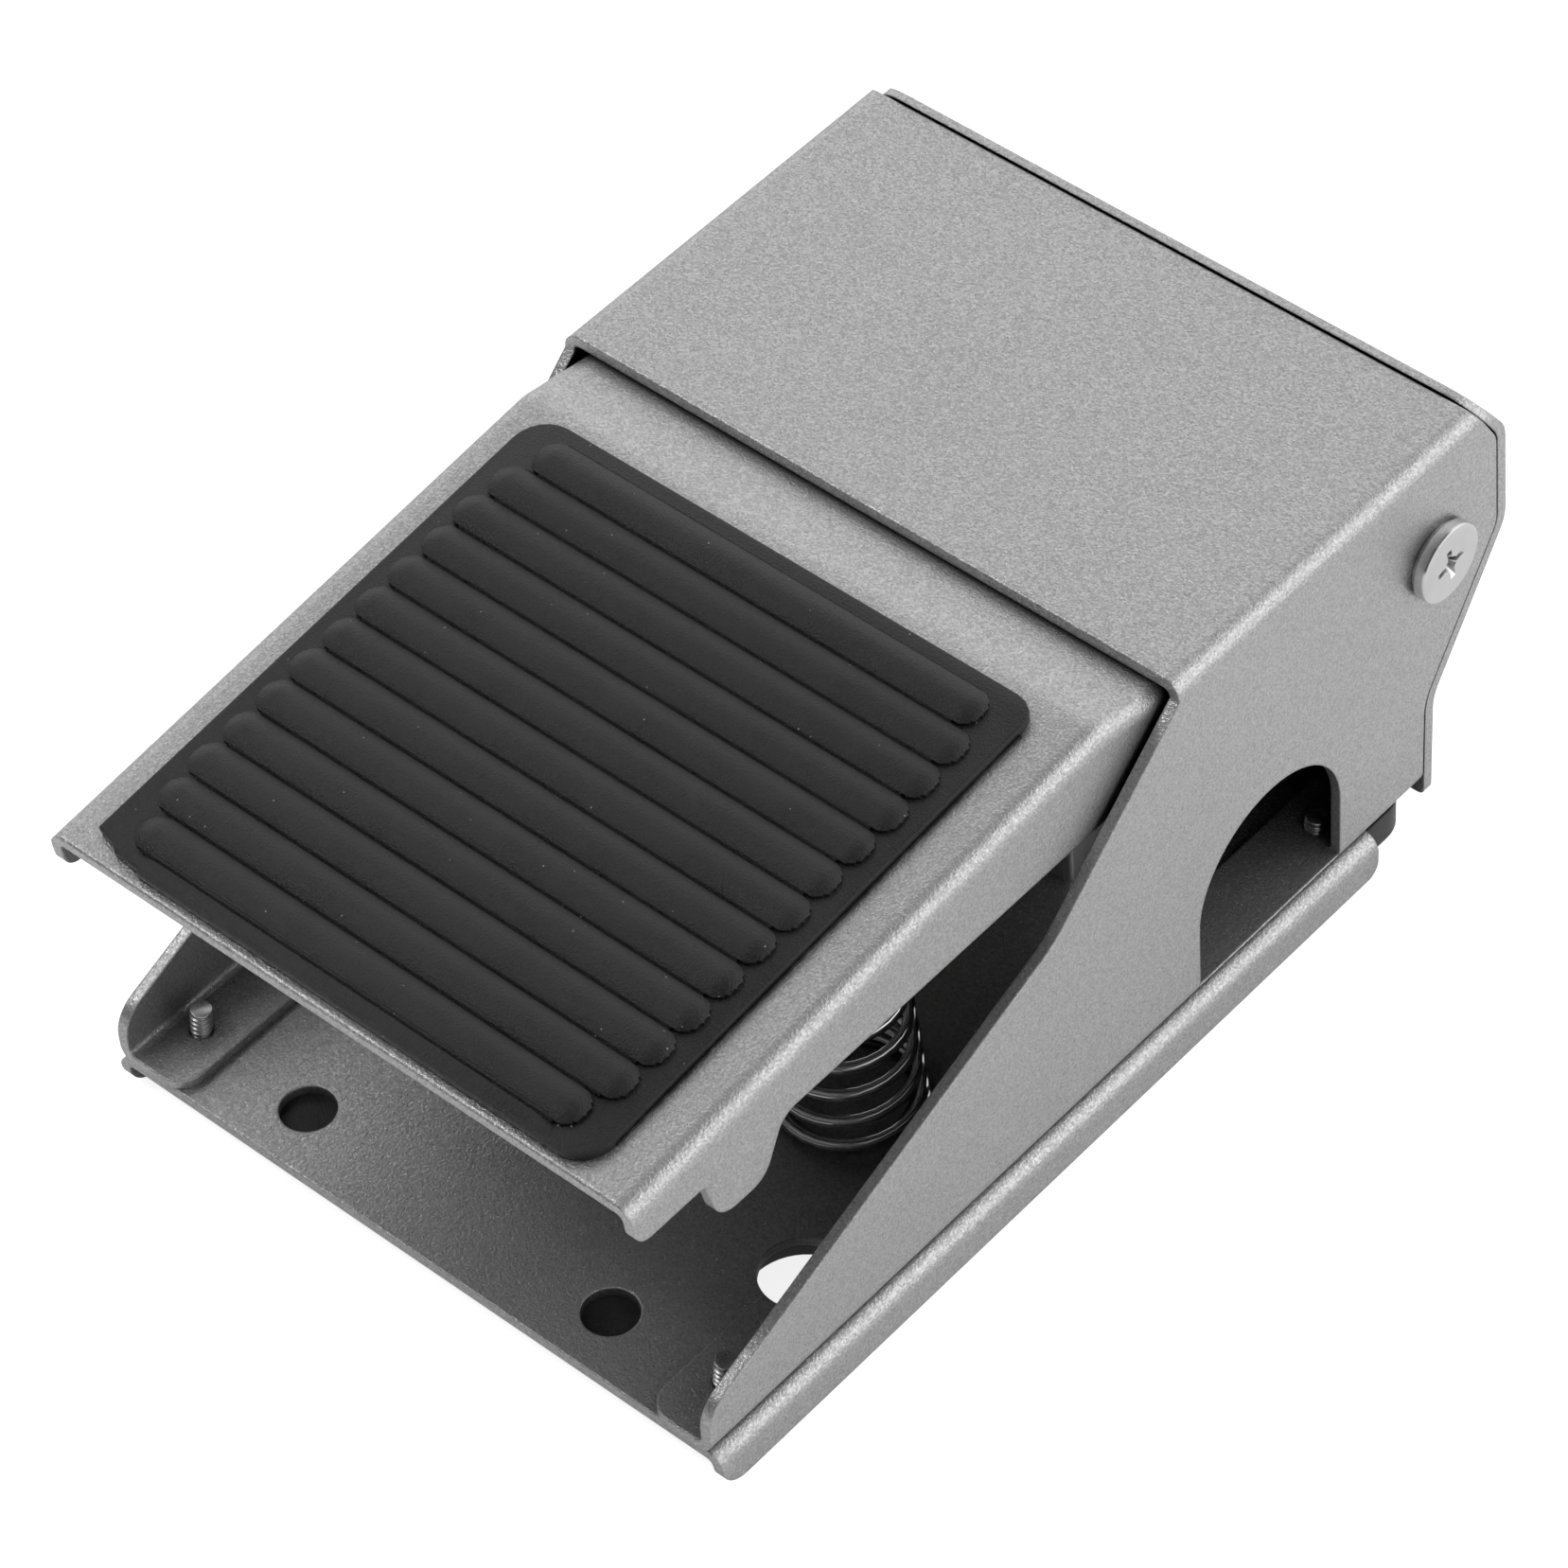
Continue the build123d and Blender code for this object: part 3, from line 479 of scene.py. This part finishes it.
def pad_sheet(half, low, high, thick):
    """Flat of the pad: three round corners, and the front left one cut off by hand."""
    sheet = block("ribbed_tread", (-half, low, 0), (half, high, thick))
    corners = (
        (half, low, 4.6 * MM, 6),
        (half, high, 3.4 * MM, 4),
        (-half, high, 4.8 * MM, 6),
    )
    for x, y, radius, steps in corners:
        pick(sheet, corner(sheet, x, y), "EDGE")
        bpy.ops.mesh.bevel(offset=radius, segments=steps)
        done()

    cut_rise = 2.1 * MM
    cut_run = 8.3 * MM
    pick(sheet, corner(sheet, -half, low), "EDGE")
    bpy.ops.mesh.bevel(offset=cut_rise, segments=1)
    done()
    cut_low = -half + cut_rise
    pick(sheet, lambda point: abs(point.co.x - cut_low) < NEAR and point.co.y < low + NEAR)
    bpy.ops.transform.translate(value=(cut_run - cut_rise, 0, 0))
    done()

    def on_cut(edge):
        first, second = edge_ends(sheet, edge)
        level = abs(first.z - second.z) < NEAR
        left = min(first.x, second.x) < -half + NEAR
        front = min(first.y, second.y) < low + NEAR
        return level and left and front and abs(first.x - second.x) > MM

    pick(sheet, on_cut, "EDGE")
    bpy.ops.mesh.subdivide(number_cuts=9)
    done()
    for point in sheet.data.vertices:
        x, y = point.co.x + half, point.co.y - low
        if 0.3 * MM < x < 8.0 * MM and 0.1 * MM < y < 2.0 * MM:
            swing = math.sin(x / MM * 2.6 + 0.5) * 0.14 + math.sin(x / MM * 1.1) * 0.2
            point.co.x += swing * 0.5 * MM
            point.co.y += swing * MM
    activate(sheet)
    return modify(sheet, "BEVEL", width=0.35 * MM, segments=2, limit_method="ANGLE",
                  angle_limit=math.radians(55))


def front_trim(front, thick):
    """Low ramp that runs up to the first rib's front foot, and the moulding line beside it."""
    ramp_half = 33 * MM
    ramp_rise = 0.5 * MM
    ramp = block("front_ramp", (-ramp_half, -1.6 * MM, -0.1 * MM), (ramp_half, 0.5 * MM, 0.52 * MM))
    pick(ramp, lambda point: point.co.y < 0 and point.co.z > 0)
    bpy.ops.transform.translate(value=(0, 0, -ramp_rise))
    done()
    pick(ramp, lambda point: point.co.y > 0 and point.co.z > 0)
    bpy.ops.transform.resize(value=(0.86, 1, 1), center_override=(0, 0, 0))
    done()
    placed_ramp = twin(ramp, "front_ramp_copy", Matrix.Translation((0, front, thick)))
    drop(ramp)

    line_place = (0, front + 0.475 * MM, thick + 0.66 * MM)
    line = block("parting_line", (-30.5 * MM, 0, 0), (31.0 * MM, 0.16 * MM, 0.18 * MM))
    modify(line, "BEVEL", width=0.06 * MM, segments=2)
    placed_line = twin(line, "parting_line_copy", Matrix.Translation(line_place))
    drop(line)
    return [placed_ramp, placed_line]


def side_flash(half, low, high):
    """Thin ragged strip of surplus rubber along the pad's right edge."""
    flash = block("edge_flash", (half - MM, low + 5 * MM, 0),
                  (half + 0.22 * MM, high - 4 * MM, 0.4 * MM))

    def lengthwise(edge):
        first, second = edge_ends(flash, edge)
        return abs(first.y - second.y) > MM

    pick(flash, lengthwise, "EDGE")
    bpy.ops.mesh.subdivide(number_cuts=60)
    done()
    for point in flash.data.vertices:
        if point.co.x > half:
            place = point.co.y / MM
            point.co.x += (math.sin(place * 2.3) + math.sin(place * 5.1 + 1.0)) * 0.06 * MM
    return flash


def tread():
    """Rubber sheet with one corner cut off by hand and thirteen cross ribs."""
    half = 39.0 * MM
    low = -5.33 * MM
    high = 73.29 * MM
    thick = 1.4 * MM
    rib_width = 5.55 * MM
    rib_height = 1.3 * MM
    rib_side = 0.5 * MM
    margin = 5.1 * MM
    sunk = 0.02 * MM
    first = low + margin
    pitch = (high - low - 2 * margin) / 12
    parts = [pad_sheet(half, low, high, thick)]
    for length, numbers in ((69.2, (0, 12)), (73.0, (1, 11)), (73.9, range(2, 11))):
        sample = rib("rib", length * MM, rib_width, rib_height, rib_side)
        for number in numbers:
            lean = math.sin(number * 2.3) * 0.1 * MM
            place = Matrix.Translation((lean, first + number * pitch, thick - sunk))
            parts.append(twin(sample, "rib_copy", place))
        drop(sample)
    parts += front_trim(first - rib_width / 2, thick)
    parts.append(side_flash(half, low, high))
    pad = joined("ribbed_tread", parts)
    pad.matrix_world = DECK_AXIS @ pad.matrix_world
    settle(pad)
    smooth(pad, 40)
    return own(pad, "pedal", TREAD, "pad_rubber", "pedal_pad")


# Springs

def coil(name, centre, low, high, low_radius, high_radius, turns, wire):
    """Wire spring that climbs from a closed end turn to another."""
    steps = 30                  # points in each turn
    closed = 1.0                # turns that lie on each other at each end
    close_pitch = 2.05 * wire
    open_pitch = (high - low - 2 * closed * close_pitch) / (turns - 2 * closed)
    data = bpy.data.curves.new(name, "CURVE")
    data.dimensions = "3D"
    data.bevel_depth = wire
    data.bevel_resolution = 4
    data.use_fill_caps = True
    data.resolution_u = 1
    spline = data.splines.new("NURBS")
    count = int(turns * steps) + 1
    spline.points.add(count - 1)
    for number, point in enumerate(spline.points):
        turn = number / steps
        rise = close_pitch * min(turn, closed)
        rise += open_pitch * min(max(turn - closed, 0), turns - 2 * closed)
        rise += close_pitch * max(turn - turns + closed, 0)
        share = rise / (high - low)
        radius = low_radius + (high_radius - low_radius) * share
        angle = 2 * math.pi * turn
        point.co = (centre.x + radius * math.cos(angle), centre.y + radius * math.sin(angle),
                    low + rise, 1.0)
    spline.order_u = 4
    spline.use_endpoint_u = True
    piece = bpy.data.objects.new(name, data)
    bpy.context.collection.objects.link(piece)
    activate(piece)
    bpy.ops.object.convert(target="MESH")
    piece = bpy.context.object
    piece.name = name
    return smooth(piece, 60)


def return_springs():
    """The two conical springs that lift the pedal."""
    wire = 0.75 * MM
    low_radius = 9.15 * MM
    high_radius = 5.2 * MM
    top_gap = 0.2 * MM
    turns = 12.5
    for side in ("left", "right"):
        node = "return_spring_" + side
        low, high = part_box(node)
        centre = middle(node)
        piece = coil("conical_spring_" + side, centre, low[2] + wire, high[2] - wire - top_gap,
                     low_radius, high_radius, turns, wire)
        own(piece, "frame", WIRE, "spring_steel", node)
        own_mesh(piece)


def valve_spring():
    """The light spring under the spool."""
    wire = 0.3 * MM
    radius = 2.2 * MM
    turns = 13
    low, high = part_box("spool_spring")
    centre = middle("spool_spring")
    piece = coil("spool_return_spring", centre, low[2] + wire, high[2] - wire, radius, radius,
                 turns, wire)
    own(piece, "frame", WIRE, "spring_steel", "spool_spring")
    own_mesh(piece)


# Screws

STUD_RADIUS = 1.45 * MM
SMALL_HEAD_RADIUS = 2.8 * MM
SMALL_HEAD = 1.8 * MM


def recess(head, top, reach, width, depth, turn):
    """Cuts a tapered cross with a round heart into the upper face of a head."""
    over = 0.3 * MM
    deselect()
    bpy.ops.mesh.primitive_cone_add(vertices=24, radius1=width * 0.6, radius2=width * 1.3,
                                    depth=depth + over,
                                    location=(0, 0, top - depth / 2 + over / 2))
    heart = settle(bpy.context.object)
    modify(head, "BOOLEAN", operation="DIFFERENCE", object=heart, solver="EXACT")
    drop(heart)
    for number in range(2):
        cutter = block("recess_cutter", (-reach, -width / 2, top - depth),
                       (reach, width / 2, top + over))
        pick(cutter, lambda point: point.co.z < top)
        bpy.ops.transform.resize(value=(0.35, 0.55, 1), center_override=(0, 0, top - depth))
        done()
        cutter.rotation_euler = (0, 0, turn + number * math.pi / 2)
        settle(cutter)
        modify(head, "BOOLEAN", operation="DIFFERENCE", object=cutter, solver="EXACT")
        drop(cutter)
    return head


def rim(piece, height, radius, offset, steps, profile=0.5):
    """Bevels the round edge at one height."""
    def on_rim(edge):
        first, second = edge_ends(piece, edge)
        level = abs(first.z - height) < 0.01 * MM and abs(second.z - height) < 0.01 * MM
        return level and min(first.xy.length, second.xy.length) > radius * 0.98

    pick(piece, on_rim, "EDGE")
    bpy.ops.mesh.bevel(offset=offset, segments=steps, profile=profile)
    done()


def pivot_screw_pair():
    """Bright flat-faced screws with a cross recess, on a narrow neck at the ends of the axle."""
    radius = 5.45 * MM
    height = 2.2 * MM
    neck = 0.6 * MM
    neck_radius = 4.95 * MM
    shank_radius = 2.4 * MM
    shank_length = 12.5 * MM
    lap = 0.05 * MM
    head = disc("screw_head", radius, height - neck, 96)
    rim(head, height - neck, radius, 0.5 * MM, 4, 0.6)
    rim(head, 0, radius, 0.2 * MM, 2)
    recess(head, height - neck, 3.0 * MM, 1.0 * MM, 1.0 * MM, math.radians(11))
    head = twin(head, "screw_head_in_place", Matrix.Translation((0, 0, neck)))
    drop(bpy.data.objects["screw_head"])
    seat = disc("screw_seat", neck_radius, neck + lap, 64)
    shank = disc("screw_shank", shank_radius, shank_length, 40)
    rim(shank, 0, shank_radius, 0.5 * MM, 1)
    shank = twin(shank, "screw_shank_in_place", Matrix.Translation((0, 0, lap - shank_length)))
    drop(bpy.data.objects["screw_shank"])
    screw = joined("pivot_screw", [head, seat, shank])
    centre = middle("pivot_screws")
    copies = []
    for side in (-1, 1):
        place = Matrix.Translation((side * HOUSING_FACE, centre.y, centre.z))
        turned = place @ Matrix.Rotation(side * math.pi / 2, 4, "Y")
        upright = turned @ Matrix.Rotation(-side * math.pi / 2, 4, "Z")
        copies.append(twin(screw, "pivot_screw_copy", upright))
    drop(screw)
    pair = joined("pivot_head_screws", copies)
    smooth(pair, 28)
    return own(pair, "frame", NICKEL, "bright_screw", "pivot_screws")


def threaded_stud(name, length, turns, pitch):
    """Pan screw that points up from the local origin, with a real thread near its tip."""
    depth = 0.3 * MM
    end_height = 0.4 * MM
    root = STUD_RADIUS - depth
    core = disc(name, root + 0.02 * MM, length - 0.1 * MM, 32)
    end = disc("stud_end", STUD_RADIUS * 0.97, end_height, 32)
    rim(end, end_height, STUD_RADIUS * 0.95, 0.12 * MM, 2)
    tip = twin(end, "stud_end_in_place", Matrix.Translation((0, 0, length - end_height)))
    drop(end)
    head = disc("stud_head", SMALL_HEAD_RADIUS, SMALL_HEAD, 48)
    rim(head, SMALL_HEAD, SMALL_HEAD_RADIUS, 1.0 * MM, 5)
    recess(head, SMALL_HEAD, 1.5 * MM, 0.6 * MM, 1.0 * MM, math.radians(20))
    under = twin(head, "stud_head_in_place", Matrix.Rotation(math.pi, 4, "X"))
    drop(head)
    deselect()
    bpy.ops.mesh.primitive_plane_add(size=1)
    wave = bpy.context.object
    pick(wave, lambda point: point.co.x < 0)
    bpy.ops.mesh.delete(type="VERT")
    bpy.ops.mesh.select_all(action="SELECT")
    bpy.ops.mesh.subdivide(number_cuts=4 * turns - 1)
    done()
    foot = length - (turns + 1) * pitch - 0.3 * MM
    for point in wave.data.vertices:
        step = round((point.co.y + 0.5) * 4 * turns)
        crest = step % 4 in (2, 3)
        point.co = (root + (depth if crest else 0), 0, foot + step * pitch / 4)
    modify(wave, "SCREW", axis="Z", angle=2 * math.pi, screw_offset=pitch, steps=32,
           render_steps=32, use_merge_vertices=True, use_normal_calculate=True)
    return joined(name, [core, tip, under, wave])


def screw_group(name, copies, node):
    """Several small screws as one piece that stands for a packed group."""
    group = joined(name, copies)
    smooth(group, 35)
    return own(group, "frame", ZINC, "zinc_steel", node)


def housing_studs():
    """Four screws from below whose threaded tips stand, a little crooked, inside the walls."""
    pitch = 0.8 * MM
    flange_depth = 3.0 * MM
    low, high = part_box("housing_screws")
    front = low[1] + SMALL_HEAD_RADIUS
    rear = high[1] - SMALL_HEAD_RADIUS
    seat = low[2] + SMALL_HEAD
    lean = Matrix.Rotation(math.radians(6), 4, Vector((-0.66, 0.75, 0)))
    sunk = Matrix.Translation((0, 0, -flange_depth))
    copies = []
    for y, length, turns in ((front, 6.9 * MM, 5), (rear, 4.9 * MM, 3)):
        sample = threaded_stud("stud", length, turns, pitch)
        for number, x in enumerate((low[0] + SMALL_HEAD_RADIUS, high[0] - SMALL_HEAD_RADIUS)):
            turn = Matrix.Rotation(number * 1.7 + y * 60, 4, "Z")
            place = Matrix.Translation((x, y, seat + flange_depth))
            copies.append(twin(sample, "stud_copy", place @ lean @ sunk @ turn))
        drop(sample)
    screw_group("housing_studs", copies, "housing_screws")


def cover_screws():
    """Two pan screws that hold the rear cover."""
    sample = threaded_stud("cover_screw", 5.0 * MM, 3, 0.5 * MM)
    low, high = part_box("rear_cover_screws")
    centre = middle("rear_cover_screws")
    towards_front = Matrix.Rotation(math.pi / 2, 4, "X")
    copies = []
    for x in (low[0] + SMALL_HEAD_RADIUS, high[0] - SMALL_HEAD_RADIUS):
        place = Matrix.Translation((x, high[1] - SMALL_HEAD, centre.z)) @ towards_front
        copies.append(twin(sample, "cover_screw_copy", place))
    drop(sample)
    screw_group("cover_head_screws", copies, "rear_cover_screws")


# Mat

def soft_copy(name, node, body, material, slot, width):
    """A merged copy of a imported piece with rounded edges."""
    source = nodes[node]
    copy = source.copy()
    copy.data = source.data.copy()
    copy.name = name
    bpy.context.collection.objects.link(copy)
    activate(copy)
    bpy.ops.object.mode_set(mode="EDIT")
    bpy.ops.mesh.select_all(action="SELECT")
    bpy.ops.mesh.remove_doubles(threshold=0.002 * MM)
    bpy.ops.mesh.dissolve_limited(angle_limit=math.radians(1.0))
    done()
    modify(copy, "BEVEL", width=width, segments=3, limit_method="ANGLE",
           angle_limit=math.radians(50))
    smooth(copy, 40)
    return own(copy, body, material, slot, node)


tread()
return_springs()
valve_spring()
pivot_screw_pair()
housing_studs()
cover_screws()
soft_copy("floor_mat", "rubber_mat", "frame", MAT, "mat_rubber", 0.35 * MM)


# Camera, as fitted to the straight edges of the real one

def camera():
    """Camera at the photograph's place, turn and lens."""
    across = Vector((0.75061, 0.65843, -0.05532)).normalized()
    down = Vector((0.45891, -0.57972, -0.67330)).normalized()
    ahead = across.cross(down)
    place = Vector((383.3526, -318.5063, 623.3505)) * MM + Vector((0, FRONT_EDGE, 0))
    data = bpy.data.cameras.new("photo_camera")
    data.sensor_width = 36
    data.lens = 153.97
    data.clip_start = 0.01
    data.clip_end = 20
    made = bpy.data.objects.new("photo_camera", data)
    bpy.context.collection.objects.link(made)
    turn = Matrix((across, -down, -ahead)).transposed().to_4x4()
    made.matrix_world = Matrix.Translation(place) @ turn
    bpy.context.scene.camera = made


def lamp(name, place, size, power, aim=(0.0, 0.0, 0.03)):
    """Soft square lamp that faces a point of the object."""
    data = bpy.data.lights.new(name, "AREA")
    data.shape = "RECTANGLE"
    data.size, data.size_y = size
    data.energy = power
    made = bpy.data.objects.new(name, data)
    bpy.context.collection.objects.link(made)
    towards = Vector(aim) - Vector(place)
    made.matrix_world = (Matrix.Translation(place)
                         @ towards.to_track_quat("-Z", "Y").to_matrix().to_4x4())


def studio():
    """Pale floor, white surround and soft lamps.

    The floor glows a little in reflections and looks white, but keeps its shadow. The surround
    looks white too, and lights the object from behind and the right, little from the front.
    """
    deselect()
    bpy.ops.mesh.primitive_plane_add(size=6, location=(0, 0, 0))
    floor = bpy.context.object
    floor.name = "floor"
    paint = Paint("pale_floor")
    path = paint.node("ShaderNodeLightPath")
    paint.finish(Base_Color=(0.8, 0.8, 0.8, 1), Roughness=1.0, Specular_IOR_Level=0.0)
    surface = paint.shader.outputs[0]
    for ray, strength in (("Is Glossy Ray", 0.27), ("Is Camera Ray", 0.85)):
        glow = paint.node("ShaderNodeEmission", Color=(1, 1, 1, 1), Strength=strength)
        both = paint.node("ShaderNodeAddShader")
        paint.feed(both.inputs[0], paint.shader.outputs[0])
        paint.feed(both.inputs[1], glow.outputs[0])
        choice = paint.node("ShaderNodeMixShader")
        paint.feed(choice.inputs[0], path.outputs[ray])
        paint.feed(choice.inputs[1], surface)
        paint.feed(choice.inputs[2], both.outputs[0])
        surface = choice.outputs[0]
    paint.feed(paint.tree.nodes["Material Output"].inputs["Surface"], surface)
    floor.data.materials.append(paint.material)

    world = bpy.data.worlds.new("white_surround")
    world.use_nodes = True
    bpy.context.scene.world = world
    tree = world.node_tree
    sky = tree.nodes["Background"]
    sky.inputs["Color"].default_value = (1, 1, 1, 1)
    around = tree.nodes.new("ShaderNodeTexCoord")
    split = tree.nodes.new("ShaderNodeSeparateXYZ")
    tree.links.new(around.outputs["Generated"], split.inputs[0])

    def shade(axis, limits, levels):
        """Level along one axis of the surround, held outside its limits."""
        made = tree.nodes.new("ShaderNodeMapRange")
        for name, value in zip(("From Min", "From Max", "To Min", "To Max"), (*limits, *levels)):
            made.inputs[name].default_value = value
        tree.links.new(split.outputs[axis], made.inputs["Value"])
        return made.outputs["Result"]

    def meet(operation, first, second):
        """Two levels as one."""
        made = tree.nodes.new("ShaderNodeMath")
        made.operation = operation
        tree.links.new(first, made.inputs[0])
        tree.links.new(second, made.inputs[1])
        return made.outputs[0]

    ceiling = shade("Z", (0.7, 0.92), (1.25, 0.2))
    height = shade("Z", (0.3, 0.6), (0.1, 1.2))
    front = shade("Y", (-0.4, 0.1), (0.1, 1.2))
    rear = shade("Y", (-0.1, 0.45), (0.08, 1.2))
    right = shade("X", (0.5, 0.8), (0.08, 1.2))
    sides = meet("MAXIMUM", rear, right)
    dim = meet("MINIMUM", ceiling, meet("MAXIMUM", meet("MINIMUM", height, front), sides))
    path = tree.nodes.new("ShaderNodeLightPath")
    seen = meet("MAXIMUM", path.outputs["Is Camera Ray"], path.outputs["Is Transmission Ray"])
    tree.links.new(meet("MAXIMUM", seen, dim), sky.inputs["Strength"])

    left_front = (-0.4, -0.34, 0.68)
    right_rear = (0.66, 0.41, 0.4)
    lamp("left_front_softbox", left_front, (0.5, 0.5), 0.65)
    lamp("left_front_core", left_front, (0.1, 0.1), 0.75)
    lamp("right_rear_softbox", right_rear, (0.85, 0.75), 1.5)


camera()
studio()

bpy.context.scene.view_settings.view_transform = "Standard"
